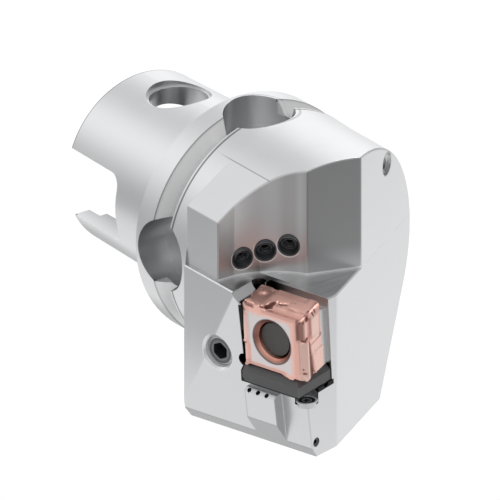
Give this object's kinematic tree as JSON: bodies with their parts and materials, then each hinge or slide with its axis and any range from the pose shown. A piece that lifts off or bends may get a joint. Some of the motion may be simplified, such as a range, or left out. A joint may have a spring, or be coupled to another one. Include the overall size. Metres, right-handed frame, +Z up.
{
  "type": "quick-change turning tool holder",
  "caption": "Turning tool holder with a hollow ball-lock taper shank, a gripper flange and a head that clamps a tangential insert on a shim by a screw and lever.",
  "frame": {"origin": "centre of the flange's rear contact face, on the shank's axis", "axes": "+X along the shank's axis from the machine towards the head, +Z up (rake side of the insert), the insert's clearance face looks towards -Y"},
  "size_m": [0.1034, 0.063, 0.071],
  "materials": {
    "holder_steel": "fine satin, nickel-plated steel",
    "insert_coating": "copper-coloured hard coating, ground grey round the hole",
    "shim_carbide": "sintered, dark grey, matt",
    "lever_steel": "hardened, dark, satin",
    "black_steel": "black oxide, satin",
    "screw_steel": "phosphated, satin",
    "seal_rubber": "matt"
  },
  "bodies": {
    "holder": {"holder_body": "holder_steel", "cutting_insert": "insert_coating", "shim": "shim_carbide", "shim_screw": "black_steel", "rake_nozzle_left": "black_steel", "rake_nozzle_middle": "black_steel", "rake_nozzle_right": "black_steel", "port_plug": "black_steel", "flank_plug": "black_steel", "corner_screw": "black_steel", "coolant_seal": "seal_rubber"},
    "screw": {"clamp_screw": "screw_steel"},
    "lever": {"clamp_lever": "lever_steel"}
  },
  "joints": [
    {"name": "clamp_screw_travel", "type": "slide", "parent": "holder", "child": "screw", "axis": [0.2582, -0.9636, -0.0698], "range_m": [0, 0.00111]},
    {"name": "clamp_lever_rock", "type": "hinge", "parent": "holder", "child": "lever", "pos_m": [0.04774, -0.01213, -0.00752], "axis": [-0.4068, -0.1739, 0.8968], "range_deg": [0, 3]}
  ],
  "couplings": [
    {"joint": "clamp_lever_rock", "follows": "clamp_screw_travel", "rad_per_m": 47.145}
  ]
}
